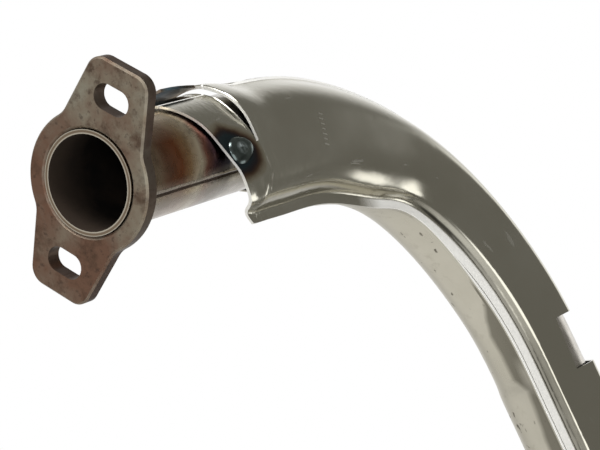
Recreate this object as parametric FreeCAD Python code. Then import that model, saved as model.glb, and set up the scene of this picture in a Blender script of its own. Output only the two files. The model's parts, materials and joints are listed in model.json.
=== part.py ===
import FreeCAD, Part
import math
import os

V = FreeCAD.Vector

# Frame: origin at the centre of the pipe mouth on the port face, X runs into the pipe,
# Z is up, the pipe bends down in the XZ plane.

# Pipe
BORE_R = 16.0
WALL = 1.5
PIPE_R = BORE_R + WALL
BEND_X = 92.0
BEND_R = 126.0
BEND_DEG = 87.0
BEND_STEPS = 12
LEG = 104.0
SPIGOT = 36.0
SPIGOT_R = PIPE_R - 0.3
SPIGOT_LEAD = 2.0

# Port flange
FLANGE_T = 5.5
FLANGE_FIT = 0.25
FLANGE_TILT = 48.2
DISC_R = 24.0
STUD_SPACING = 59.2
SLOT_W = 8.6
SLOT_L = 14.0
EAR_END = 41.2
EAR_TIP_HALF = 11.4
EAR_ROOT = 12.0
EAR_ROOT_HALF = 18.0
EAR_CORNER_R = 6.0
EAR_BLEND_R = 8.0
EDGE_CHAMFER = 0.7
MOUTH_CHAMFER = 0.9
BEAD = 4.0

# Heat shield sheet
SHEET = 1.0
SEAM_Y = -8.0
HUG_GAP = 0.4
HUG_R = PIPE_R + HUG_GAP + SHEET
SLIT_X = 65.4
SLIT = 1.6
SLIT_END_Z = -5.0
HOOD_END_X = 71.0
LIP_START_X = 84.0
TONGUE_FRONT_X = 32.0
TONGUE_HUG_X = 57.0
TONGUE_CUT_X = 47.0
TONGUE_CUT_SLOPE = 0.5
STRAP_FRONT_X = 45.0
STRAP_BACK_X = 64.0
STRAP_CUT_X = 59.0
STRAP_CUT_SLOPE = 2.6
CLEAR_END_X = 94.0
CLEAR_WIDE = 24.0
CLEAR_FROM_Z = 9.0
PRESSED_DEG = 80.0
PRESSED_PAST = 10.0
PRESSED_STEP = 5.0
COLLAR_LONG = 12.0
NECK_LONG = 18.0
SLOPE_REACH = 32.0
CUT_REACH = 60.0

# Window in the leg
WINDOW_TOP = -107.6
WINDOW_LONG = 22.0
WINDOW_FROM = -7.0
WINDOW_BACK_Y = -3.9

# Plug welds
NUGGET_R = 3.8
NUGGET_PROUD = 1.5
NUGGET_FIT = 0.1
NEAR_WELD_X = 56.0
NEAR_WELD_Z = -6.0
NEAR_WELD_SEAT = HUG_R + 0.7
FAR_WELD_X = 54.0
FAR_WELD_LEAN = 40.0
FAR_WELD_SEAT = HUG_R + 0.9

BEND_END = BEND_X + math.radians(BEND_DEG) * BEND_R
SHIELD_END = BEND_END + LEG


def station(s):
    """Point on the pipe axis and the outward and forward directions there."""
    if s <= BEND_X:
        return V(s, 0, 0), V(0, 0, 1), V(1, 0, 0)
    a = min((s - BEND_X) / BEND_R, math.radians(BEND_DEG))
    out = V(math.sin(a), 0, math.cos(a))
    ahead = V(math.cos(a), 0, -math.sin(a))
    point = V(BEND_X, 0, -BEND_R) + out * BEND_R
    return point + ahead * max(0.0, s - BEND_END), out, ahead


def tube(radius, s0, s1):
    """Solid rod that follows the pipe axis from s0 to s1."""
    parts = []
    p, out, ahead = station(s0)
    parts.append(Part.makeCylinder(radius, BEND_X - s0, p, ahead))
    disc = Part.Face(Part.Wire(Part.makeCircle(radius, V(BEND_X, 0, 0), V(1, 0, 0))))
    parts.append(disc.revolve(V(BEND_X, 0, -BEND_R), V(0, 1, 0), BEND_DEG))
    p, out, ahead = station(BEND_END)
    parts.append(Part.makeCylinder(radius, s1 - BEND_END, p, ahead))
    return parts[0].fuse(parts[1:]).removeSplitter()


def rounded_points(points, radii, counts):
    """Points along a polyline with rounded corners; counts go line, corner, line and so on."""
    found = []
    last = points[0]
    for i, r in enumerate(radii, 1):
        p = points[i]
        a = (p - points[i - 1]).normalize()
        b = (points[i + 1] - p).normalize()
        half = math.acos(max(-1.0, min(1.0, a.dot(b)))) / 2
        start = p - a * (r * math.tan(half))
        turn = 1 if a.cross(b).z > 0 else -1
        centre = start + V(-a.y, a.x, 0) * (r * turn)
        for k in range(counts[2 * i - 2]):
            found.append(last + (start - last) * (k / counts[2 * i - 2]))
        for k in range(counts[2 * i - 1] + 1):
            w = turn * 2 * half * k / counts[2 * i - 1]
            arm = start - centre
            found.append(centre + V(arm.x * math.cos(w) - arm.y * math.sin(w),
                                    arm.x * math.sin(w) + arm.y * math.cos(w), 0))
        last = found.pop()
    for k in range(counts[-1] + 1):
        found.append(last + (points[-1] - last) * (k / counts[-1]))
    return found


def sheet_points(points, radii, counts):
    """Matching points on the outer and the inner face of a bent sheet."""
    pts = [V(u, v, 0) for u, v in points]
    inner = []
    inner_r = []
    for i, p in enumerate(pts):
        a = V(p - pts[i - 1]).normalize() if i else V(pts[1] - p).normalize()
        b = V(pts[i + 1] - p).normalize() if i < len(pts) - 1 else a
        na = V(a.y, -a.x, 0)
        nb = V(b.y, -b.x, 0)
        inner.append(p + (na + nb) * (SHEET / (1 + na.dot(nb))))
        if 0 < i < len(pts) - 1:
            inner_r.append(radii[i - 1] + (SHEET if a.cross(b).z > 0 else -SHEET))
    return rounded_points(pts, radii, counts), rounded_points(inner, inner_r, counts)


def skin(grid):
    """Smooth surface drawn by a grid of poles, straight across where there are only two rows."""
    surface = Part.BSplineSurface()
    sizes = (len(grid), len(grid[0]))
    degrees = [min(3, n - 1) for n in sizes]
    ends = [[d + 1] + [1] * (n - d - 1) + [d + 1] for n, d in zip(sizes, degrees)]
    steps = [[float(k) for k in range(len(m))] for m in ends]
    surface.buildFromPolesMultsKnots(grid, ends[0], ends[1], steps[0], steps[1],
                                     False, False, degrees[0], degrees[1])
    return surface.toShape()


def pole_lift(s):
    """Share of the bend radius by which poles stand off, so that the smooth surface keeps its radius."""
    full = (1 - math.cos(math.radians(BEND_DEG / BEND_STEPS))) / 3
    if BEND_X + 1 < s < BEND_END - 1:
        return full
    if BEND_X - 1 < s < BEND_END + 1:
        return full / 2
    return 0.0


def sheet_solid(rows, side):
    """Closed sheet: rows are (station, (points, radii, counts)); side is -1 near, +1 far."""
    grids = ([], [])
    for s, (points, radii, counts) in rows:
        p, out, ahead = station(s)
        lift = pole_lift(s)
        for grid, line in zip(grids, sheet_points(points, radii, counts)):
            reach = [q.x + lift * (BEND_R + q.x) for q in line]
            grid.append([p + out * u + V(0, SEAM_Y + side * q.y, 0) for u, q in zip(reach, line)])
    faces = [skin(g) for g in grids]
    for end in (0, -1):
        faces.append(skin([g[end] for g in grids]))
        faces.append(skin([[row[end] for row in g] for g in grids]))
    shell = Part.makeShell(faces)
    shell.sewShape()
    solid = Part.makeSolid(shell)
    if solid.Volume < 0:
        solid.reverse()
    return solid


def blend(a, b, w):
    w = w * w * (3 - 2 * w)
    points = [(p[0] + (q[0] - p[0]) * w, p[1] + (q[1] - p[1]) * w) for p, q in zip(a[0], b[0])]
    radii = [p + (q - p) * w for p, q in zip(a[1], b[1])]
    return points, radii, a[2]


def section_at(keys, s):
    if s <= keys[0][0]:
        return keys[0][1]
    for (s0, a), (s1, b) in zip(keys, keys[1:]):
        if s <= s1:
            return blend(a, b, (s - s0) / (s1 - s0))
    return keys[-1][1]


def at_bend(deg):
    return BEND_X + math.radians(deg) * BEND_R


# Near half: inner lip tip, crease, ridge, two arch corners, outer crease, outer lip tip
NEAR_COUNTS = [1, 2, 1, 2, 1, 3, 2, 4, 1, 2, 1]
NEAR_HOOD = ([(-31, 1), (-27, 1), (-26, 7), (-19.5, 14), (10.3, 14), (22, 0), (22, -5)],
             [2, 10, 13, 18, 12], NEAR_COUNTS)
NEAR_BARREL = ([(-31.5, 1), (-27.5, 1), (-26, 7), (-19, 14), (8.8, 13.4), (17.4, 1), (18.4, 1)],
               [2, 10, 13, 18, 1.5], NEAR_COUNTS)
NEAR_WAIST = ([(-31, 1), (-27, 1), (-25, 7), (-17, 13.4), (8.6, 13), (17.2, 1), (18.2, 1)],
              [2, 9, 12, 17, 1.5], NEAR_COUNTS)
NEAR_SHOULDER = ([(-22, 1), (-18, 1), (-17.4, 6), (-9.5, 12), (7, 13.2), (18.8, 1), (20, 1)],
                 [2, 2.4, 14, 10, 1.5], NEAR_COUNTS)
NEAR_LEG = ([(-25.8, 1), (-17.9, 1), (-17.2, 6), (-10, 10.8), (5.2, 13.4), (18.6, 1), (20, 1)],
            [2, 1.4, 14, 5, 1.5], NEAR_COUNTS)
NEAR_COLLAR = ([(-22, 1), (-18.2, 1), (-16.5, 4.5), (-7.5, 11.2), (7.5, 11.2), (17.6, 1), (20.2, 1)],
               [2, 2.5, 12, 12, 1.5], NEAR_COUNTS)

# Tongue: the near half's lower front, slit from the hood and pulled in round the pipe
TONGUE_COUNTS = [1, 2, 1, 2, 1, 3, 2, 1, 1, 2, 1, 2, 1]
TONGUE_BACK = ([(-31, 1), (-27, 1), (-26, 7), (-19.5, 14), (-3, 14),
                (15.6, 6.2), (21, -8.9), (19.1, -12.9)],
               [2.2, 10, 13, 8, 17, 9], TONGUE_COUNTS)
TONGUE_HUG = ([(-30, 1), (-26, 1), (-24.5, 6), (-14, 11.2), (4, 11.5),
               (15.6, 6.2), (21, -8.9), (19.1, -12.9)],
              [2.2, 6, 12, 10, 17, 9], TONGUE_COUNTS)

# Far half: inner lip tip, crease, two arch corners, outer edge on the seam
FAR_COUNTS = [1, 2, 1, 4, 1, 4, 2]
FAR_STRAP = ([(-22.5, 1), (-19.4, 1), (-19.6, 27.6), (23.2, 28.4), (22.6, 0.2)], [1.5, 18, 18], FAR_COUNTS)
FAR_BARREL = ([(-31.5, 1), (-27.5, 1), (-24, 29), (22.4, 29.5), (18.8, 0.2)], [2, 20, 20], FAR_COUNTS)
FAR_WAIST = ([(-30.5, 1), (-25.4, 1), (-20.4, 27.6), (22.6, 28.5), (18.8, 0.2)], [2, 19, 19], FAR_COUNTS)
FAR_SHOULDER = ([(-22, 1), (-19.3, 1), (-19.5, 27.6), (21.2, 28.2), (19.4, 0.2)], [1.5, 19, 19], FAR_COUNTS)
FAR_LEG = ([(-25.8, 1), (-20, 1), (-20, 28), (20, 28), (19.2, 0.2)], [2, 19, 19], FAR_COUNTS)
FAR_PRESSED = ([(-25.8, 1), (-18.4, 1), (-22.4, 27.8), (20, 28), (19.2, 0.2)], [1.5, 19, 19], FAR_COUNTS)
FAR_COLLAR = ([(-22, 1), (-19.4, 1), (-19.6, 27.6), (19.6, 27.6), (19.2, 0.2)], [1.5, 18, 18], FAR_COUNTS)

COLLAR_S = SHIELD_END - COLLAR_LONG
LEG_END_S = COLLAR_S - NECK_LONG
PRESSED_S = at_bend(PRESSED_DEG)
PRESSED_END_S = BEND_END + PRESSED_PAST
run_keys = [(0, "barrel"), (24, "waist"), (41, "shoulder"), (66, "leg")]
near_of = {"barrel": NEAR_BARREL, "waist": NEAR_WAIST, "shoulder": NEAR_SHOULDER, "leg": NEAR_LEG}
far_of = {"barrel": FAR_BARREL, "waist": FAR_WAIST, "shoulder": FAR_SHOULDER, "leg": FAR_LEG}
near_keys = [(HOOD_END_X, NEAR_HOOD), (LIP_START_X, NEAR_BARREL)]
near_keys += [(at_bend(d), near_of[k]) for d, k in run_keys]
near_keys += [(LEG_END_S, NEAR_LEG), (COLLAR_S, NEAR_COLLAR)]
far_keys = [(STRAP_FRONT_X + 6, FAR_STRAP), (STRAP_BACK_X + 20, FAR_BARREL)]
far_keys += [(at_bend(d), far_of[k]) for d, k in run_keys]
far_keys += [(PRESSED_S, FAR_PRESSED), (PRESSED_END_S - PRESSED_STEP, FAR_PRESSED)]
far_keys += [(PRESSED_END_S, FAR_LEG), (LEG_END_S, FAR_LEG), (COLLAR_S, FAR_COLLAR)]
run_stops = [at_bend(BEND_DEG * k / BEND_STEPS) for k in range(BEND_STEPS)]
end_stops = [BEND_END + d for d in (0, 16, 32, 52)]
end_stops += [LEG_END_S, LEG_END_S + 9, COLLAR_S, COLLAR_S + 5, SHIELD_END]
near_stops = [SLIT_X + SLIT / 2 + d for d in (0.1, 0.6, 1.8, 8, 16)] + run_stops + end_stops
far_stops = [STRAP_FRONT_X + d for d in (0, 6, 14, 24, 36)] + run_stops + end_stops
far_stops += [PRESSED_END_S + PRESSED_STEP * k for k in (-1, -0.5, 0)]
far_stops.sort()
tongue_stops = [TONGUE_FRONT_X + d for d in (0, 8, 16, 23, 28)]
tongue_stops += [SLIT_X - SLIT / 2 - d for d in (1.8, 0.6, 0.1)]


def near_rows():
    rows = []
    for x in tongue_stops:
        w = min(1.0, (SLIT_X - x) / (SLIT_X - TONGUE_HUG_X))
        rows.append((x, blend(TONGUE_BACK, TONGUE_HUG, w)))
    return rows + [(s, section_at(near_keys, s)) for s in near_stops]


def below_slope(x0, slope):
    """Block on the flange side of a slanting cut across the pipe."""
    r = SLOPE_REACH
    pts = [V(-r, -r, r), V(x0 - slope * r, -r, r), V(x0 + slope * r, -r, -r), V(-r, -r, -r)]
    return Part.Face(Part.makePolygon(pts + pts[:1])).extrude(V(0, 2 * r, 0))


def nugget(root, axis, seat):
    """Domed plug weld standing on the pipe through a hole in the sheet."""
    dome_r = (NUGGET_R ** 2 + NUGGET_PROUD ** 2) / (2 * NUGGET_PROUD)
    ball = Part.makeSphere(dome_r, root + axis * (seat + NUGGET_PROUD - dome_r))
    head = Part.makeCylinder(NUGGET_R, seat + NUGGET_PROUD, root, axis).common(ball)
    body = Part.makeCylinder(NUGGET_R, seat, root, axis).fuse(head).removeSplitter()
    below = V(root.x - 2 * NUGGET_R, 0, 0)
    return body.cut(Part.makeCylinder(PIPE_R + NUGGET_FIT, 4 * NUGGET_R, below, V(1, 0, 0)))


def nugget_hole(root, axis, seat):
    return Part.makeCylinder(NUGGET_R + NUGGET_FIT, PIPE_R, root + axis * (seat - PIPE_R / 2), axis)


def flange():
    """Two-eared plate, drawn flat with its ears on Y, then stood on the port face."""
    half = [V(-EAR_ROOT_HALF, EAR_ROOT, 0), V(-EAR_TIP_HALF, EAR_END, 0),
            V(EAR_TIP_HALF, EAR_END, 0), V(EAR_ROOT_HALF, EAR_ROOT, 0)]
    ring = half + [V(-p.x, -p.y, 0) for p in half]
    ears = Part.Face(Part.makePolygon(ring + ring[:1])).extrude(V(0, 0, FLANGE_T))
    plate = ears.fuse(Part.makeCylinder(DISC_R, FLANGE_T)).removeSplitter()
    upright = [e for e in plate.Edges if e.BoundBox.ZLength > FLANGE_T / 2 and abs(e.BoundBox.Center.x) > 1]
    tips = [e for e in upright if abs(e.BoundBox.Center.y) > EAR_END - 1]
    plate = plate.makeFillet(EAR_CORNER_R, tips)
    upright = [e for e in plate.Edges if e.BoundBox.ZLength > FLANGE_T / 2 and abs(e.BoundBox.Center.x) > 1]
    roots = [e for e in upright if EAR_ROOT < abs(e.BoundBox.Center.y) < DISC_R]
    plate = plate.makeFillet(EAR_BLEND_R, roots)
    plate = plate.makeChamfer(EDGE_CHAMFER, [e for e in plate.Edges if e.BoundBox.ZLength < 0.01])
    hole_r = PIPE_R + FLANGE_FIT
    plate = plate.cut(Part.makeCylinder(hole_r, FLANGE_T))
    plate = plate.cut(Part.makeCone(hole_r + MOUTH_CHAMFER, hole_r, MOUTH_CHAMFER))
    run = (SLOT_L - SLOT_W) / 2
    for y in (-STUD_SPACING / 2, STUD_SPACING / 2):
        slot = Part.makeBox(2 * run, SLOT_W, FLANGE_T, V(-run, y - SLOT_W / 2, 0))
        ends = [Part.makeCylinder(SLOT_W / 2, FLANGE_T, V(x, y, 0)) for x in (-run, run)]
        plate = plate.cut(slot.fuse(ends).removeSplitter())
    plate.rotate(V(0, 0, 0), V(0, 1, 0), 90)
    plate.rotate(V(0, 0, 0), V(1, 0, 0), 90 + FLANGE_TILT)
    return plate


# Bent pipe with the fillet weld that holds it in the flange
PIPE_END = SHIELD_END + SPIGOT
tip, out, ahead = station(SHIELD_END + SPIGOT_LEAD)
pipe = tube(PIPE_R, 0, SHIELD_END + SPIGOT_LEAD)
pipe = pipe.fuse(Part.makeCylinder(SPIGOT_R, SPIGOT - SPIGOT_LEAD, tip, ahead))
toe = PIPE_R - WALL / 2
bead_line = [V(FLANGE_T, 0, toe), V(FLANGE_T, 0, PIPE_R + BEAD),
             V(FLANGE_T + BEAD * 0.4, 0, PIPE_R + BEAD * 0.7),
             V(FLANGE_T + BEAD, 0, PIPE_R + BEAD * 0.15), V(FLANGE_T + BEAD * 1.1, 0, toe)]
bead = Part.Face(Part.makePolygon(bead_line + bead_line[:1])).revolve(V(0, 0, 0), V(1, 0, 0), 360)
pipe = pipe.fuse(bead).cut(tube(BORE_R, -1, PIPE_END + 1)).removeSplitter()

# Near half: one pressing, its tongue cut free of the hood by a slit with a round end
near = sheet_solid(near_rows(), -1)
slit = Part.makeBox(SLIT, 2 * CUT_REACH, CUT_REACH, V(SLIT_X - SLIT / 2, -CUT_REACH, SLIT_END_Z))
slit_end = Part.makeCylinder(SLIT / 2, 2 * CUT_REACH, V(SLIT_X, -CUT_REACH, SLIT_END_Z), V(0, 1, 0))
slit = slit.fuse(slit_end)
near = near.cut(slit.removeSplitter())
near = near.cut(below_slope(TONGUE_CUT_X, TONGUE_CUT_SLOPE))

# Far half: strap in front, cut back at the top behind it
far = sheet_solid([(s, section_at(far_keys, s)) for s in far_stops], 1)
far = far.cut(below_slope(STRAP_CUT_X, STRAP_CUT_SLOPE))
clear_at = V(STRAP_BACK_X, SEAM_Y - 2 * SHEET, CLEAR_FROM_Z)
far = far.cut(Part.makeBox(CLEAR_END_X - STRAP_BACK_X, CLEAR_WIDE, CUT_REACH, clear_at))

# Window through both halves on the outer side of the leg
window_at = V(BEND_X + BEND_R + WINDOW_FROM, WINDOW_BACK_Y - CUT_REACH, WINDOW_TOP - WINDOW_LONG)
window = Part.makeBox(CUT_REACH, CUT_REACH, WINDOW_LONG, window_at)
near = near.cut(window)
far = far.cut(window)

# Plug welds and their holes
far_lean = math.radians(FAR_WELD_LEAN)
near_weld = (V(NEAR_WELD_X, 0, NEAR_WELD_Z), V(0, -1, 0), NEAR_WELD_SEAT)
far_weld = (V(FAR_WELD_X, 0, 0), V(0, math.cos(far_lean), math.sin(far_lean)), FAR_WELD_SEAT)
near = near.cut(nugget_hole(*near_weld))
far = far.cut(nugget_hole(*far_weld))

os.makedirs("parts", exist_ok=True)
nodes = {
    "port_flange": flange(),
    "head_pipe": pipe,
    "shield_near": near.removeSplitter(),
    "shield_far": far.removeSplitter(),
    "weld_near": nugget(*near_weld),
    "weld_far": nugget(*far_weld),
}
for name, shape in nodes.items():
    shape.exportStep("parts/" + name + ".step")
    print(name, shape.isValid(), len(shape.Solids), round(shape.Volume / 1000, 2))
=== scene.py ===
import json
import math

import bmesh
import bpy
from mathutils import Matrix, Vector
from mathutils.bvhtree import BVHTree


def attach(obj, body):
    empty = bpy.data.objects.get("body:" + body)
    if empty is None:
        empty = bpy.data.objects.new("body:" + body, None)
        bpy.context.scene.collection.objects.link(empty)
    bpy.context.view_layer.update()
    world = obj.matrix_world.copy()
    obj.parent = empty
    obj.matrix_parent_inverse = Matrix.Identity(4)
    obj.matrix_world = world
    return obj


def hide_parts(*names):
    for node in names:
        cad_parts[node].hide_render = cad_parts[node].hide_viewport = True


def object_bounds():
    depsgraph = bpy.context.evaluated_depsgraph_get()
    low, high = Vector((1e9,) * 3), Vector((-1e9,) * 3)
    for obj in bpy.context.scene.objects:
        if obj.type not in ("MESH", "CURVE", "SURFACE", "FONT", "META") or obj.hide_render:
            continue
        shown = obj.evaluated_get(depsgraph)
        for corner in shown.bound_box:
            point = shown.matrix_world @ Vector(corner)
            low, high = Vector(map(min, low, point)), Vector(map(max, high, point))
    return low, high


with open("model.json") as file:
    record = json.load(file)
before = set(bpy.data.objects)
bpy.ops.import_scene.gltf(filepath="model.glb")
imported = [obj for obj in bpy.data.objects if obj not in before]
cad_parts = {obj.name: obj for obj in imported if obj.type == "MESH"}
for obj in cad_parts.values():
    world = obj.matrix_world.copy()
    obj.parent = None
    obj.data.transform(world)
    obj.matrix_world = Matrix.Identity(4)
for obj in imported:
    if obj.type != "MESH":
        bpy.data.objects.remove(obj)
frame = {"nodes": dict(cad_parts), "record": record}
cad_low, cad_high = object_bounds()
nodes = frame["nodes"]
mounts = {m["name"]: m for m in frame["record"]["mounts"]}

MM = 0.001
ZERO = (0, 0, 0)
WHITE = (1, 1, 1)

# Blender's noise: its middle, and the range that most of it lies in
NOISE_MIDDLE = 0.5
NOISE_RANGE = (0.3, 0.7)

# Sockets of Blender's Mix node, which repeats its socket names for each kind of data
MIX_SHARE = 0
MIX_NUMBERS = (2, 3)
MIX_NUMBER_OUT = 0
MIX_COLOURS = (6, 7)
MIX_COLOUR_OUT = 2

# The tube's path in metres, from the record: straight in front, one bend, straight leg
BORE_R = mounts["port_bore"]["dims"]["r_mm"] * MM
BEND_X = mounts["port_bore"]["dims"]["length_mm"] * MM
OUTLET = Vector(mounts["outlet_spigot"]["pos_m"])
LEG_AHEAD = Vector(mounts["outlet_spigot"]["axis"])
LEG_OUT = Vector((-LEG_AHEAD.z, 0, LEG_AHEAD.x))
BEND_R = ((OUTLET.x - BEND_X) * LEG_OUT.x + OUTLET.z * LEG_OUT.z) / (1 - LEG_OUT.z)
BEND_CENTRE = Vector((BEND_X, 0, -BEND_R))

# In the marks that follow, a pair of places along one axis is where a change starts and where it ends.

# Lip of the near half, in millimetres: its face, where a white highlight is painted, its dark line, and its
# crease, where shade is painted. The line and the crease run at these distances from the tube's axis
LIP_Y = -9.0
LIP_SIDE = 5.0
LIP_START_X = (128.0, 142.0)
LIP_LINE = 24.5
LIP_LINE_Z = (-68.0, -80.0)
CREASE = 17.9
CREASE_X = (146.0, 153.0)
CREASE_Y = LIP_Y - 0.8

# Cut edges at the front of the near half, where a white highlight is painted: they end at this X in
# millimetres, and X of their normal
CUT_EDGE_X = 78.0
CUT_EDGE_FACING = (-0.70, -0.85)

# Column of dashes on the hood, in millimetres: X and Z of its two ends, and its dashes
MARKS_TOP = (109.3, -2.6)
MARKS_LOW = (104.6, -14.3)
MARKS_Y = (LIP_Y - 8.0, LIP_Y - 9.0)
MARKS_PITCH = 2.0
MARKS_RAGGED = 3.0
MARK_HALF_LONG = 0.9
MARK_HALF_THICK = 0.12

# Painted shade of a channel on the far half of the leg, in millimetres: its edge runs out, steps back and
# runs out again, and a highlight is painted at the step
CHANNEL_Z = (-78.0, -104.0)
CHANNEL_Y = 3.0
CHANNEL_STEP_Z = (-124.0, -130.0)
CHANNEL_STEP = 4.5
CHANNEL_LOW_Z = -154.0
CHANNEL_WAVE = 3.0
CHANNEL_SOFT = 1.2
GLINT_Y = LIP_Y + 4.0

# Heat colours of the far half's strap, in millimetres: where they run, and where they fade in from behind
STRAP_TINT_X = (40.0, 86.0)
STRAP_TINT_END_X = (84.0, 64.0)

# Pipe, in millimetres: heat colours, straw top, paler underside as a painted reflection, seam with a painted
# highlight on its rim, end face, and mouth with painted light
PIPE_TINT_X = (0.0, 70.0)
STRAW_X = (44.0, 40.0)
STRAW_Z = (3.0, 12.0)
PALE_UNDER_Z = (-9.0, -15.0)
SEAM_HALF = 0.45
SEAM_SOFT = 0.3
SEAM_WAVE = 0.7
SEAM_RIM = -2.6 * SEAM_HALF
SEAM_RIM_HALF = 0.7 * SEAM_HALF
SEAM_LEAN_DEGREES = 45.0
END_FACE_X = 0.3
END_RIM_R = (17.1, 17.3)
MOUTH_X = (18.0, 4.0)
BORE_PLAY = 0.6

# Flange: how far its colour changes to either side in millimetres, and X of the normal, without its sign,
# on its sides and its 45 degree chamfers
PLATE_HALF = 30.0
SIDE_FACING = (0.45, 0.25)
CHAMFER_FACING = 0.707

# Near weld, an oval nugget on the tongue, in millimetres
WELD_X = 57.2
WELD_Z = -6.6
WELD_HALF_LONG = 5.6
WELD_HALF_HIGH = 5.0
WELD_PROUD = 1.9
WELD_SUNK = 0.2
# Painted highlight near the weld's crown: its offset from the weld's middle, and the distances where it
# starts and is full
WELD_CROWN = (-0.6, -1.5, 0.4)
WELD_CROWN_R = (2.6, 0.8)

# The power that rounds its dome, the counts of its mesh, and the waves of its rim: the share of its size
# that each swings, then how often it swings round the rim and its phase in radians
WELD_DOME = 0.7
WELD_RINGS = 10
WELD_SPOKES = 48
WELD_SWING = 0.02
WELD_WAVES = ((2, 0.5), (3, 1.0))

# Heat mark round the near weld: how far in front of the weld it lies, its reach and its ragged edge in
# millimetres, its lean, its fade in shares of its reach, and the factor on distances along its length
HEAT_FORWARD = 3.0
HEAT_REACH = 13.0
HEAT_RAGGED = 2.5
HEAT_LEAN_DEGREES = 38.0
HEAT_FADE = (0.86, 0.58)
HEAT_LONG = 0.75

# Scratches: turns in radians, stretch of the noise, and the part of it that draws a line
SCRATCH_TURNS = ((0.2, 0.3, 0.1), (1.1, -0.4, 0.7))
SCRATCH_STRETCH = (1.0, 14.0, 1.0)
SCRATCH_CUT = (0.70, 0.74)

# Camera: the port's centre sits at this pixel of the image, at this distance in millimetres. The angles are
# in degrees, the sensor is in millimetres and the near limit of the view in metres.
IMAGE_W = 600
IMAGE_H = 450
PORT_PX = (87.22, 183.13)
PORT_DISTANCE = 639.2
FOCAL_PX = 2000.0
AZIMUTH = -55.34
ELEVATION = -2.16
ROLL = -23.34
SENSOR = 36.0
CLIP_START = 0.01

# Studio, in metres, with the floor's fade in shares of its radius and the world's grey as a light
STAGE_CENTRE = Vector((0.12, 0, -0.1))
TENT_R = 2.5
FLOOR_R = 0.7
FLOOR_DROP = 0.002
FLOOR_FADE = (0.45, 0.98)
WORLD_GREY = (0.55, 0.55, 0.55)


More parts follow.
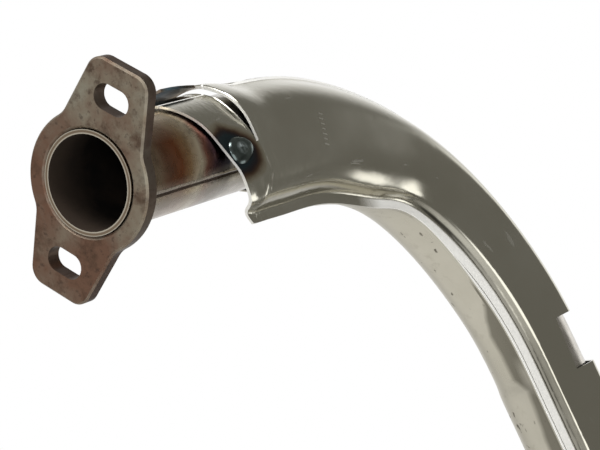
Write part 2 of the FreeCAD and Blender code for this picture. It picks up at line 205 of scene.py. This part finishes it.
class Shader:
    """One node material, built by short calls."""

    def __init__(self, name):
        self.material = bpy.data.materials.new(name)
        self.material.use_nodes = True
        self.tree = self.material.node_tree
        self.tree.nodes.clear()
        self.out = self.tree.nodes.new("ShaderNodeOutputMaterial")
        self.coords = self.tree.nodes.new("ShaderNodeTexCoord").outputs["Object"]

    def node(self, kind, inputs=(), **settings):
        made = self.tree.nodes.new(kind)
        for key, value in settings.items():
            setattr(made, key, value)
        for key, value in dict(inputs).items():
            self.put(made.inputs[key], value)
        return made

    def put(self, socket, value):
        """Links a socket to an output, or sets a number, vector or colour on it."""
        if isinstance(value, bpy.types.NodeSocket):
            self.tree.links.new(value, socket)
        elif socket.type == "RGBA":
            socket.default_value = (*value, 1.0)
        else:
            socket.default_value = value

    def math(self, operation, a, b=0.0, clamp=False):
        made = self.node("ShaderNodeMath", {0: a, 1: b}, operation=operation, use_clamp=clamp)
        return made.outputs[0]

    def times(self, *values):
        product = values[0]
        for value in values[1:]:
            product = self.math("MULTIPLY", product, value)
        return product

    def vector(self, operation, a, b=ZERO):
        made = self.node("ShaderNodeVectorMath", {0: a, 1: b}, operation=operation)
        single = operation in ("LENGTH", "DISTANCE", "DOT_PRODUCT")
        return made.outputs["Value" if single else "Vector"]

    def axis(self, vector, name):
        return self.node("ShaderNodeSeparateXYZ", {0: vector}).outputs[name]

    def place(self, name):
        """One coordinate in millimetres."""
        return self.math("DIVIDE", self.axis(self.coords, name), MM)

    def facing_x(self):
        """X of the surface's normal, -1 where it faces the front."""
        return self.axis(self.node("ShaderNodeNewGeometry").outputs["Normal"], "X")

    def noise(self, scale, detail=3.0, rough=0.55, vector=None):
        made = self.node("ShaderNodeTexNoise", {
            "Vector": vector or self.coords, "Scale": scale, "Detail": detail, "Roughness": rough})
        return made.outputs["Fac"]

    def patches(self, levels, **noise):
        """Mask of patches: 0 where the noise is under the first level, 1 where it is over the second."""
        return self.span(self.noise(**noise), *levels)

    def drift(self, scale, reach, detail=4.0):
        """Noise that swings by half of reach to either side."""
        centred = self.math("SUBTRACT", self.noise(scale, detail), NOISE_MIDDLE)
        return self.math("MULTIPLY", centred, reach)

    def stretched(self, stretch, turn=ZERO):
        made = self.node("ShaderNodeMapping", {
            "Vector": self.coords, "Scale": stretch, "Rotation": turn})
        return made.outputs["Vector"]

    def ramp(self, value, stops):
        """Colours by value, from stops of place and colour."""
        made = self.node("ShaderNodeValToRGB", {"Fac": value})
        for _ in stops[2:]:
            made.color_ramp.elements.new(0.5)
        for element, (place, _) in zip(made.color_ramp.elements, stops):
            element.position = place
        for element, (_, colour) in zip(made.color_ramp.elements, stops):
            element.color = (*colour, 1.0)
        return made.outputs["Color"]

    def mix(self, share, a, b):
        """Colour a where share is 0, b where it is 1."""
        inputs = {MIX_SHARE: share, MIX_COLOURS[0]: a, MIX_COLOURS[1]: b}
        return self.node("ShaderNodeMix", inputs, data_type="RGBA").outputs[MIX_COLOUR_OUT]

    def paint(self, colour, over, mask, strength):
        """The colour, with another one over it where the mask is 1, at this strength."""
        return self.mix(self.times(mask, strength), colour, over)

    def span(self, value, low, high, start=0.0, end=1.0):
        """start where the value is low or beyond, end where it is high or beyond."""
        made = self.node("ShaderNodeMapRange", {
            "Value": value, "From Min": low, "From Max": high, "To Min": start, "To Max": end})
        return made.outputs["Result"]

    def near(self, value, middle, half, soft):
        """1 within half of the middle, down to 0 over the soft width."""
        off = self.math("ABSOLUTE", self.math("SUBTRACT", value, middle))
        return self.span(off, half, half + soft, 1.0, 0.0)

    def bump(self, height, distance, strength):
        made = self.node("ShaderNodeBump", {
            "Height": height, "Distance": distance, "Strength": strength})
        return made.outputs["Normal"]

    def inward(self):
        """Distance in millimetres from the tube's axis towards the inside of its bend."""
        arm = self.vector("SUBTRACT", self.coords, BEND_CENTRE)
        ahead = self.math("MAXIMUM", self.axis(arm, "X"), 0.0)
        flat = self.node("ShaderNodeCombineXYZ", {"X": ahead, "Z": self.axis(arm, "Z")}).outputs[0]
        round_bend = self.vector("LENGTH", flat)
        by_leg = self.vector("DOT_PRODUCT", arm, LEG_OUT)
        past = self.math("GREATER_THAN", self.vector("DOT_PRODUCT", arm, LEG_AHEAD), 0.0)
        inputs = {MIX_SHARE: past, MIX_NUMBERS[0]: round_bend, MIX_NUMBERS[1]: by_leg}
        reach = self.node("ShaderNodeMix", inputs, data_type="FLOAT").outputs[MIX_NUMBER_OUT]
        return self.math("DIVIDE", self.math("SUBTRACT", BEND_R, reach), MM)

    def show(self, surface):
        """Ends the material in this shader node."""
        self.tree.links.new(surface.outputs[0], self.out.inputs["Surface"])
        return self.material

    def finish(self, **inputs):
        """Ends the material in a Principled surface, where base_color sets its Base Color, and so on."""
        sockets = {}
        for key, value in inputs.items():
            sockets[key.replace("_", " ").title().replace("Ior", "IOR")] = value
        return self.show(self.node("ShaderNodeBsdfPrincipled", sockets))


def scratches(s, scale):
    """Mask of thin lines in two leanings."""
    lines = []
    for turn in SCRATCH_TURNS:
        along = s.stretched(SCRATCH_STRETCH, turn)
        lines.append(s.patches(SCRATCH_CUT, scale=scale, detail=2.0, rough=0.5, vector=along))
    return s.math("MAXIMUM", *lines, clamp=True)


def handling_marks(s):
    """Mask of a column of short dashes on the hood's broad side."""
    top = Vector((MARKS_TOP[0], 0, MARKS_TOP[1])) * MM
    low = Vector((MARKS_LOW[0], 0, MARKS_LOW[1])) * MM
    down = (low - top).normalized()
    aside = Vector((-down.z, 0, down.x))
    half_run = (low - top).length / MM / 2
    arm = s.vector("SUBTRACT", s.coords, top)
    run = s.math("DIVIDE", s.vector("DOT_PRODUCT", arm, down), MM)
    wide = s.math("DIVIDE", s.vector("DOT_PRODUCT", arm, aside), MM)
    wide = s.math("ADD", wide, s.drift(scale=500.0, reach=MARKS_RAGGED))
    dash = s.near(s.math("PINGPONG", run, MARKS_PITCH / 2), 0.0, half=MARK_HALF_THICK, soft=0.2)
    inside = s.near(run, half_run, half=half_run, soft=0.5)
    across = s.near(wide, 0.0, half=MARK_HALF_LONG, soft=0.4)
    return s.times(dash, inside, across, s.span(s.place("Y"), *MARKS_Y))


def heat_reach(s, weld_at):
    """0 at the middle of the oval heat mark round the near weld, 1 well outside it."""
    lean = math.radians(HEAT_LEAN_DEGREES)
    middle = weld_at - Vector((HEAT_FORWARD * MM, 0, 0))
    arm = s.vector("SUBTRACT", s.coords, middle)
    along = s.vector("DOT_PRODUCT", arm, (math.cos(lean) * HEAT_LONG, 0, -math.sin(lean) * HEAT_LONG))
    aside = s.vector("DOT_PRODUCT", arm, (math.sin(lean), 0, math.cos(lean)))
    reach = s.vector("LENGTH", s.node("ShaderNodeCombineXYZ", {"X": along, "Y": aside}).outputs[0])
    ragged = s.math("ADD", reach, s.drift(scale=160.0, reach=HEAT_RAGGED * MM))
    return s.math("DIVIDE", ragged, HEAT_REACH * MM, clamp=True)


def lip_marks(s):
    """Two masks on the near half: painted shade in its crease together with its dark line, and a painted
    white highlight on its lip.
    """
    inward = s.inward()
    inner_side = s.span(inward, 0.0, LIP_SIDE)
    outer_side = s.span(inward, 0.0, -LIP_SIDE)
    lip = s.near(s.place("Y"), LIP_Y, half=0.25, soft=0.3)
    crease = s.times(
        s.span(s.place("X"), *CREASE_X),
        inner_side,
        s.near(inward, CREASE, half=0.35, soft=0.35),
        s.near(s.place("Y"), CREASE_Y, half=0.9, soft=0.6))
    line = s.times(
        s.span(s.place("Z"), *LIP_LINE_Z),
        lip,
        s.near(inward, LIP_LINE, half=0.12, soft=0.15))
    white_inside = s.times(s.span(s.place("X"), *LIP_START_X), inner_side)
    painted_highlight = s.times(lip, s.math("MAXIMUM", white_inside, outer_side))
    painted_highlight = s.math("SUBTRACT", painted_highlight, line, clamp=True)
    return s.math("MAXIMUM", crease, line), painted_highlight


def cut_edges(s):
    """Mask of the near half's cut edges that face the front, where a white highlight is painted."""
    facing_front = s.span(s.facing_x(), *CUT_EDGE_FACING)
    return s.times(facing_front, s.math("LESS_THAN", s.place("X"), CUT_EDGE_X))


def channel_masks(s):
    """Two masks on the far half of the leg: painted shade of its channel, and a painted highlight on the
    step at the channel's edge.
    """
    y = s.place("Y")
    z = s.place("Z")
    wavy = s.drift(scale=45.0, reach=CHANNEL_WAVE, detail=2.0)
    edge = s.math("ADD", s.span(z, *CHANNEL_Z, start=LIP_Y, end=CHANNEL_Y), wavy)
    edge = s.math("ADD", edge, s.span(z, *CHANNEL_STEP_Z, end=-CHANNEL_STEP))
    edge = s.math("ADD", edge, s.span(z, CHANNEL_STEP_Z[1], CHANNEL_LOW_Z, end=CHANNEL_STEP / 2))
    channel_shade = s.span(s.math("SUBTRACT", y, edge), CHANNEL_SOFT, -CHANNEL_SOFT)
    channel_shade = s.times(channel_shade, s.math("LESS_THAN", z, CHANNEL_Z[0]))
    step = s.near(z, CHANNEL_STEP_Z[0], half=2.0, soft=7.0)
    glint = s.times(step, s.near(y, GLINT_Y, half=1.0, soft=4.0))
    return channel_shade, glint


def pipe_seam(s):
    """Two masks under the pipe: its dark seam, and a painted highlight on the rim beside the seam."""
    lean = math.radians(SEAM_LEAN_DEGREES)
    across = s.vector("DOT_PRODUCT", s.coords, (0, math.sin(lean), -math.cos(lean)))
    across = s.math("ADD", s.math("DIVIDE", across, MM), s.drift(scale=130.0, reach=SEAM_WAVE))
    under = s.math("LESS_THAN", s.place("Z"), 0.0)
    seam = s.near(across, 0.0, half=SEAM_HALF, soft=SEAM_SOFT)
    rim = s.near(across, SEAM_RIM, half=SEAM_RIM_HALF, soft=SEAM_SOFT)
    return s.times(seam, under), s.times(rim, under)


def end_rims(s):
    """Mask of the bright inner and outer rims of the pipe's end face."""
    radius = s.vector("LENGTH", s.vector("MULTIPLY", s.coords, (0, 1 / MM, 1 / MM)))
    inner = s.near(radius, BORE_R / MM, half=0.3, soft=0.2)
    outer = s.span(radius, *END_RIM_R)
    return s.math("MAXIMUM", inner, outer)


def polished_sheet(weld_at):
    """Mirror-bright pressed steel: heat mark round the weld, scratches, painted shade in the crease, a dark
    lip line, painted white highlight on lip and cut edges.
    """
    dull = (0.60, 0.575, 0.49)
    pale_tone = (0.68, 0.66, 0.58)
    scratched = (0.86, 0.85, 0.80)
    shade_and_line_dark = (0.10, 0.095, 0.08)
    highlight_white = (0.97, 0.96, 0.92)
    heat_tints = [
        (0.0, (0.03, 0.045, 0.055)), (0.40, (0.05, 0.075, 0.09)), (0.52, (0.07, 0.055, 0.06)),
        (0.62, (0.20, 0.12, 0.07)), (0.74, (0.50, 0.42, 0.28)), (0.9, WHITE)]
    s = Shader("polished_sheet")
    cloud = s.noise(scale=22.0, detail=4.0, rough=0.6)
    colour = s.ramp(cloud, [(0.25, dull), (0.75, pale_tone)])
    heat = heat_reach(s, weld_at)
    colour = s.mix(s.span(heat, *HEAT_FADE), colour, s.ramp(heat, heat_tints))
    scratch = s.math("MAXIMUM", scratches(s, scale=60.0), handling_marks(s))
    colour = s.paint(colour, scratched, scratch, strength=0.4)
    crease_shade_and_line, painted_highlight = lip_marks(s)
    # Painted shade in the lip's crease, and the dark line on the lip
    colour = s.paint(colour, shade_and_line_dark, crease_shade_and_line, strength=0.85)
    # Painted white highlight on the lip and the front cut edges, which are also less metallic and rougher
    # there
    painted_highlight = s.math("MAXIMUM", painted_highlight, s.times(cut_edges(s), 0.7))
    colour = s.mix(painted_highlight, colour, highlight_white)
    metal = s.span(painted_highlight, 0.0, 1.0, start=1.0, end=0.05)
    rough = s.span(cloud, *NOISE_RANGE, start=0.13, end=0.20)
    rough = s.math("ADD", rough, s.times(scratch, 0.15))
    rough = s.math("ADD", rough, s.times(painted_highlight, 0.2))
    fine = s.noise(scale=900.0, detail=2.0, rough=0.5, vector=s.stretched((1.0, 0.25, 0.4)))
    grain = s.bump(fine, distance=0.02 * MM, strength=0.25)
    return s.finish(base_color=colour, metallic=metal, roughness=rough, normal=grain)


def satin_sheet():
    """Satin pressed steel: stains, pits, heat colours on the strap, painted shade of a channel down the leg
    and a painted highlight at its step.
    """
    dull = (0.60, 0.57, 0.48)
    pale_tone = (0.74, 0.705, 0.61)
    stained = (0.34, 0.31, 0.24)
    pitted = (0.12, 0.105, 0.08)
    shaded = (0.17, 0.157, 0.122)
    heat_tints = [
        (0.0, (0.42, 0.33, 0.24)), (0.10, (0.34, 0.27, 0.21)), (0.20, (0.24, 0.37, 0.48)),
        (0.32, (0.13, 0.15, 0.17)), (0.40, (0.10, 0.095, 0.085)),
        (0.55, (0.28, 0.20, 0.13)), (0.85, (0.5, 0.43, 0.31))]
    s = Shader("satin_sheet")
    cloud = s.noise(scale=34.0, detail=4.0, rough=0.6)
    colour = s.ramp(cloud, [(0.25, dull), (0.75, pale_tone)])
    stain = s.patches((0.58, 0.72), scale=95.0, detail=5.0, rough=0.65)
    colour = s.paint(colour, stained, stain, strength=0.35)
    drawn_down = s.stretched((1.0, 1.0, 0.6))
    pits = s.patches((0.68, 0.74), scale=300.0, detail=2.0, rough=0.6, vector=drawn_down)
    colour = s.paint(colour, pitted, pits, strength=0.8)
    hot = s.math("ADD", s.place("X"), s.drift(scale=70.0, reach=14.0))
    tint = s.ramp(s.span(hot, *STRAP_TINT_X), heat_tints)
    colour = s.mix(s.span(hot, *STRAP_TINT_END_X), colour, tint)
    channel_shade, glint = channel_masks(s)
    # Painted shade of the channel down the leg
    colour = s.paint(colour, shaded, channel_shade, strength=0.8)
    # Painted highlight on the channel's step, in the pale tone
    colour = s.paint(colour, pale_tone, glint, strength=0.7)
    rough = s.span(cloud, *NOISE_RANGE, start=0.24, end=0.34)
    rough = s.math("ADD", rough, s.times(pits, 0.3))
    grain = s.bump(s.noise(scale=700.0), distance=0.03 * MM, strength=0.3)
    return s.finish(base_color=colour, metallic=1.0, roughness=rough, normal=grain)


def tinted_tube():
    """Steel tube: heat colours behind the flange, straw on top, paler below as a painted reflection, a seam
    with a painted highlight, a bare end face.
    """
    straw = (0.62, 0.55, 0.43)
    stained = (0.12, 0.07, 0.045)
    pale_tone = (0.66, 0.62, 0.565)
    seam_dark = (0.05, 0.026, 0.017)
    seam_highlight = (0.72, 0.655, 0.57)
    face_dull = (0.27, 0.205, 0.145)
    face_bright = (0.66, 0.60, 0.50)
    heat_tints = [
        (0.08, (0.20, 0.14, 0.095)), (0.20, (0.33, 0.245, 0.165)), (0.30, (0.22, 0.10, 0.055)),
        (0.40, (0.27, 0.09, 0.032)), (0.47, (0.46, 0.29, 0.15)), (0.56, (0.80, 0.70, 0.53)),
        (0.61, (0.32, 0.14, 0.10)), (0.66, (0.06, 0.026, 0.034)), (0.78, (0.03, 0.03, 0.045)),
        (0.84, (0.70, 0.68, 0.64))]
    s = Shader("tinted_tube")
    hot = s.math("ADD", s.place("X"), s.drift(scale=60.0, reach=9.0))
    colour = s.ramp(s.span(hot, *PIPE_TINT_X), heat_tints)
    on_top = s.times(s.span(s.place("Z"), *STRAW_Z), s.span(hot, *STRAW_X))
    colour = s.paint(colour, straw, on_top, strength=0.7)
    stain = s.patches((0.52, 0.70), scale=150.0, detail=5.0, rough=0.65)
    colour = s.paint(colour, stained, stain, strength=0.45)
    # Paler underside: a painted reflection
    underside = s.span(s.place("Z"), *PALE_UNDER_Z)
    colour = s.paint(colour, pale_tone, underside, strength=0.7)
    seam, rim = pipe_seam(s)
    colour = s.paint(colour, seam_dark, seam, strength=0.9)
    # Painted highlight on the rim beside the seam, which the bump also raises
    colour = s.paint(colour, seam_highlight, rim, strength=0.7)
    end_face = s.mix(end_rims(s), face_dull, face_bright)
    colour = s.mix(s.math("LESS_THAN", s.place("X"), END_FACE_X), colour, end_face)
    rough = s.span(s.noise(scale=220.0), *NOISE_RANGE, start=0.20, end=0.34)
    grit = s.times(s.noise(scale=500.0), 0.1)
    height = s.math("ADD", grit, s.math("SUBTRACT", rim, seam))
    uneven = s.bump(height, distance=0.25 * MM, strength=0.5)
    return s.finish(base_color=colour, metallic=1.0, roughness=rough, normal=uneven)


def sooted_bore():
    """Soot, black inside, and browner towards the mouth, where light falling in is painted."""
    black = (0.004, 0.003, 0.003)
    brown_black = (0.018, 0.012, 0.008)
    lit_mouth_brown = (0.06, 0.042, 0.03)
    s = Shader("sooted_bore")
    colour = s.ramp(s.noise(scale=120.0, detail=5.0), [(0.3, black), (0.7, brown_black)])
    # Painted light: the soot turns browner towards the mouth, where light falls in
    inside = s.math("ADD", s.place("X"), s.drift(scale=90.0, reach=10.0))
    lit_mouth = s.span(inside, *MOUTH_X)
    colour = s.paint(colour, lit_mouth_brown, lit_mouth, strength=0.6)
    flaky = s.bump(s.noise(scale=600.0), distance=0.1 * MM, strength=0.5)
    return s.finish(base_color=colour, metallic=0.0, roughness=0.7, specular_ior_level=0.2, normal=flaky)


def worn_plate():
    """Flange steel: grey to brown across its face, stains, pits, scratches, dark sides and worn chamfers."""
    stained = (0.10, 0.06, 0.04)
    pitted = (0.07, 0.045, 0.035)
    side_dark = (0.085, 0.055, 0.042)
    worn_pale = (0.34, 0.305, 0.25)
    grey_to_brown = [
        (0.0, (0.35, 0.325, 0.255)), (0.35, (0.285, 0.235, 0.175)),
        (0.65, (0.225, 0.155, 0.112)), (1.0, (0.20, 0.112, 0.075))]
    s = Shader("worn_plate")
    cloud = s.noise(scale=48.0, detail=5.0, rough=0.6)
    across = s.span(s.place("Y"), -PLATE_HALF, PLATE_HALF, start=-0.30, end=0.40)
    warm = s.math("ADD", s.span(cloud, 0.28, 0.62), across, clamp=True)
    colour = s.ramp(warm, grey_to_brown)
    stain = s.patches((0.50, 0.66), scale=130.0, detail=6.0, rough=0.68)
    colour = s.paint(colour, stained, stain, strength=0.8)
    pits = s.patches((0.58, 0.68), scale=430.0, rough=0.6)
    colour = s.paint(colour, pitted, pits, strength=0.55)
    facing = s.math("ABSOLUTE", s.facing_x())
    sides = s.span(facing, *SIDE_FACING)
    colour = s.paint(colour, side_dark, sides, strength=0.75)
    chamfer = s.near(facing, CHAMFER_FACING, half=0.12, soft=0.08)
    worn = s.times(chamfer, s.patches((0.36, 0.56), scale=140.0, detail=4.0))
    colour = s.paint(colour, worn_pale, worn, strength=0.5)
    rough = s.span(cloud, *NOISE_RANGE, start=0.36, end=0.52)
    rough = s.math("ADD", rough, s.times(chamfer, 0.2))
    grit = s.noise(scale=260.0, detail=5.0, rough=0.6)
    height = s.math("SUBTRACT", grit, s.times(scratches(s, scale=90.0), 0.4))
    uneven = s.bump(height, distance=0.12 * MM, strength=0.6)
    return s.finish(base_color=colour, metallic=0.9, roughness=rough, normal=uneven)


def blued_nugget(weld_at):
    """Blue-grey weld metal, with a painted highlight near the crown of the near weld."""
    crown_highlight = (0.50, 0.56, 0.56)
    blue_greys = [(0.3, (0.07, 0.088, 0.086)), (0.55, (0.16, 0.195, 0.19)), (0.75, (0.26, 0.28, 0.265))]
    s = Shader("blued_nugget")
    colour = s.ramp(s.noise(scale=240.0, detail=4.0), blue_greys)
    # Painted highlight near the crown of the near weld, also less metallic
    off_crown = s.vector("DISTANCE", s.coords, weld_at + Vector(WELD_CROWN) * MM)
    pale = s.span(off_crown, WELD_CROWN_R[0] * MM, WELD_CROWN_R[1] * MM)
    pale = s.times(pale, s.patches((0.35, 0.6), scale=300.0))
    colour = s.paint(colour, crown_highlight, pale, strength=0.8)
    metal = s.span(pale, 0.0, 1.0, start=1.0, end=0.4)
    lumps = s.bump(s.noise(scale=420.0, detail=2.0), distance=0.15 * MM, strength=0.5)
    return s.finish(base_color=colour, metallic=metal, roughness=0.2, normal=lumps)


def weld_rim():
    """Points of the near weld's rim on the tongue, and the way the tongue faces there."""
    sheet = nodes["shield_near"].data
    tongue = BVHTree.FromPolygons([v.co for v in sheet.vertices], [f.vertices for f in sheet.polygons])
    towards_part = Vector((0, 1, 0))
    points = []
    facing = Vector()
    for k in range(WELD_SPOKES):
        a = 2 * math.pi * k / WELD_SPOKES
        lump = 1 + sum(WELD_SWING * math.sin(waves * a + phase) for waves, phase in WELD_WAVES)
        x = WELD_X + WELD_HALF_LONG * lump * math.cos(a)
        z = WELD_Z + WELD_HALF_HIGH * lump * math.sin(a)
        outside = Vector((x * MM, cad_low.y, z * MM))
        place, normal, _, _ = tongue.ray_cast(outside, towards_part)
        points.append(place)
        facing += normal
    return points, facing.normalized()


def oval_weld(rim, facing, middle, material):
    """Lumpy oval nugget that stands for the plain round one on the near tongue."""
    mesh = bmesh.new()
    rings = []
    for ring in range(1, WELD_RINGS + 1):
        share = ring / WELD_RINGS
        rise = (WELD_PROUD * (1 - share ** 2) ** WELD_DOME - WELD_SUNK) * MM
        rings.append([mesh.verts.new(middle.lerp(p, share) + facing * rise) for p in rim])
    top = mesh.verts.new(middle + facing * (WELD_PROUD - WELD_SUNK) * MM)
    for k in range(WELD_SPOKES):
        after = (k + 1) % WELD_SPOKES
        mesh.faces.new((top, rings[0][k], rings[0][after]))
        for inner, outer in zip(rings, rings[1:]):
            mesh.faces.new((inner[k], outer[k], outer[after], inner[after]))
    bmesh.ops.recalc_face_normals(mesh, faces=mesh.faces)
    if mesh.faces[0].normal.dot(facing) < 0:
        bmesh.ops.reverse_faces(mesh, faces=mesh.faces)
    for face in mesh.faces:
        face.smooth = True
    data = bpy.data.meshes.new("oval_weld")
    mesh.to_mesh(data)
    mesh.free()
    data.materials.append(material)
    made = bpy.data.objects.new("oval_weld", data)
    bpy.context.scene.collection.objects.link(made)
    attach(made, "root")
    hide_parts("weld_near")


def dress(node, *materials):
    """Gives a CAD node its materials, the first one all over."""
    mesh = nodes[node].data
    mesh.materials.clear()
    for material in materials:
        mesh.materials.append(material)


def on_axis(point):
    """The nearest point on the tube's axis."""
    if point.x < BEND_X:
        return Vector((point.x, 0, 0))
    arm = point - BEND_CENTRE
    past = arm.dot(LEG_AHEAD)
    if past > 0:
        return BEND_CENTRE + LEG_OUT * BEND_R + LEG_AHEAD * past
    return BEND_CENTRE + Vector((arm.x, 0, arm.z)).normalized() * BEND_R


def mark_bore(node):
    """The second material goes on the faces that look towards the tube's own axis."""
    for face in nodes[node].data.polygons:
        arm = face.center - on_axis(face.center)
        if face.normal.dot(arm) < 0 and arm.length < BORE_R + BORE_PLAY * MM:
            face.material_index = 1


def camera():
    """The photograph's camera. Returns its directions right, up and back."""
    az, el, roll = (math.radians(v) for v in (AZIMUTH, ELEVATION, ROLL))
    back = Vector((math.sin(az) * math.cos(el), -math.cos(az) * math.cos(el), math.sin(el)))
    level = Vector((0, 0, 1)).cross(back).normalized()
    upright = back.cross(level)
    right = level * math.cos(roll) + upright * math.sin(roll)
    up = back.cross(right)
    aside = (PORT_PX[0] - IMAGE_W / 2) / FOCAL_PX * PORT_DISTANCE
    above = (IMAGE_H / 2 - PORT_PX[1]) / FOCAL_PX * PORT_DISTANCE
    place = (back * PORT_DISTANCE - right * aside - up * above) * MM
    data = bpy.data.cameras.new("camera")
    data.sensor_width = SENSOR
    data.lens = FOCAL_PX * SENSOR / IMAGE_W
    data.clip_start = CLIP_START
    made = bpy.data.objects.new("camera", data)
    made.matrix_world = Matrix.Translation(place) @ Matrix((right, up, back)).transposed().to_4x4()
    bpy.context.scene.collection.objects.link(made)
    bpy.context.scene.camera = made
    return right, up, back


def lamp(name, place, target, size, power):
    """Rectangular soft lamp, in metres and watts, that faces its target."""
    data = bpy.data.lights.new(name, "AREA")
    data.shape = "RECTANGLE"
    data.size, data.size_y = size
    data.energy = power
    made = bpy.data.objects.new(name, data)
    made.location = place
    made.rotation_mode = "QUATERNION"
    made.rotation_quaternion = (Vector(target) - Vector(place)).to_track_quat("-Z", "Y")
    bpy.context.scene.collection.objects.link(made)


def white_world():
    """White where it is seen directly or in a mirror, grey as a light."""
    world = bpy.data.worlds.new("studio")
    bpy.context.scene.world = world
    world.use_nodes = True
    tree = world.node_tree
    tree.nodes.clear()
    path = tree.nodes.new("ShaderNodeLightPath")
    seen = path.outputs["Is Camera Ray"]
    for name in ("Is Glossy Ray", "Is Transmission Ray"):
        either = tree.nodes.new("ShaderNodeMath")
        either.operation = "MAXIMUM"
        tree.links.new(seen, either.inputs[0])
        tree.links.new(path.outputs[name], either.inputs[1])
        seen = either.outputs[0]
    colour = tree.nodes.new("ShaderNodeMix")
    colour.data_type = "RGBA"
    colour.inputs[MIX_COLOURS[0]].default_value = (*WORLD_GREY, 1)
    colour.inputs[MIX_COLOURS[1]].default_value = (*WHITE, 1)
    tree.links.new(seen, colour.inputs[MIX_SHARE])
    light = tree.nodes.new("ShaderNodeBackground")
    tree.links.new(colour.outputs[MIX_COLOUR_OUT], light.inputs["Color"])
    out = tree.nodes.new("ShaderNodeOutputWorld")
    tree.links.new(light.outputs[0], out.inputs["Surface"])


def studio_tent(right, up, back):
    """Dark room round the part, seen only in reflections.

    It has a pale left side and ground, a white wall behind the part, a bright panel and two small lights.
    Each is placed by its direction in the photograph's view: how far to the side, up and behind it starts,
    and where it is full.
    """
    dark_room = (0.17, 0.166, 0.15)
    pale_left = (0.55, 0.545, 0.53)
    pale_ground = (0.74, 0.735, 0.71)
    wall_foot = (0.62, 0.615, 0.60)
    bright_panel = (1.1, 1.1, 1.08)
    small_light = (1.7, 1.7, 1.67)
    low_right = (right * 0.85 - up * 0.49 - back * 0.18).normalized()
    low_front = (right * 0.20 - up * 0.46 + back * 0.87).normalized()
    bpy.ops.mesh.primitive_uv_sphere_add(
        segments=64, ring_count=32, radius=TENT_R, location=STAGE_CENTRE)
    tent = bpy.context.object
    tent.name = "studio_tent"
    s = Shader("tent")
    away = s.vector("NORMALIZE", s.coords)
    side = s.vector("DOT_PRODUCT", away, right)
    high = s.vector("DOT_PRODUCT", away, up)
    behind = s.vector("DOT_PRODUCT", away, -back)
    glow = s.mix(s.span(side, -0.45, -0.85), dark_room, pale_left)
    ground = s.times(
        s.span(high, -0.22, -0.62),
        s.span(side, 0.35, 0.0),
        s.span(behind, -0.75, -0.2, start=0.6, end=1.0))
    glow = s.mix(ground, glow, pale_ground)
    wall = s.ramp(s.span(high, -0.4, 0.0), [(0.0, wall_foot), (1.0, WHITE)])
    glow = s.mix(s.span(behind, 0.60, 0.90), glow, wall)
    panel = s.times(
        s.span(side, 0.48, 0.60),
        s.span(high, 0.50, 0.40),
        s.span(behind, 0.46, 0.60),
        s.span(high, -0.1, 0.05))
    glow = s.mix(panel, glow, bright_panel)
    for place, edge, core in ((low_right, 0.970, 0.987), (low_front, 0.84, 0.91)):
        spot = s.span(s.vector("DOT_PRODUCT", away, place), edge, core)
        glow = s.mix(spot, glow, small_light)
    light = s.node("ShaderNodeEmission", {"Color": glow, "Strength": 1.0})
    tent.data.materials.append(s.show(light))
    tent.visible_camera = False
    tent.visible_diffuse = False
    tent.visible_shadow = False
    tent.visible_transmission = False


def floor():
    """Pale round floor under the part, which fades out before its edge."""
    pale = (0.92, 0.92, 0.91)
    place = (STAGE_CENTRE.x, STAGE_CENTRE.y, cad_low.z - FLOOR_DROP)
    bpy.ops.mesh.primitive_circle_add(vertices=96, radius=FLOOR_R, fill_type="NGON", location=place)
    made = bpy.context.object
    made.name = "floor"
    s = Shader("pale_floor")
    edge = s.span(s.vector("LENGTH", s.coords), FLOOR_R * FLOOR_FADE[0], FLOOR_R * FLOOR_FADE[1])
    matt = s.node("ShaderNodeBsdfDiffuse", {"Color": pale})
    clear = s.node("ShaderNodeBsdfTransparent")
    both = s.node("ShaderNodeMixShader", {0: edge, 1: matt.outputs[0], 2: clear.outputs[0]})
    made.data.materials.append(s.show(both))
    made.visible_glossy = False


rim, facing = weld_rim()
weld_at = sum(rim, Vector()) / len(rim)
nugget = blued_nugget(weld_at)

dress("port_flange", worn_plate())
dress("head_pipe", tinted_tube(), sooted_bore())
mark_bore("head_pipe")
dress("shield_near", polished_sheet(weld_at))
dress("shield_far", satin_sheet())
dress("weld_far", nugget)
oval_weld(rim, facing, weld_at, nugget)

right, up, back = camera()
white_world()
studio_tent(right, up, back)
floor()
lamp("top_softbox", place=(-0.25, -0.35, 0.75), target=(0.1, 0, -0.02), size=(0.5, 0.3), power=5.0)
lamp("front_fill", place=(-0.75, -0.5, 0.15), target=(0.05, 0, 0), size=(0.25, 0.25), power=2.0)

bpy.context.scene.view_settings.view_transform = "Standard"
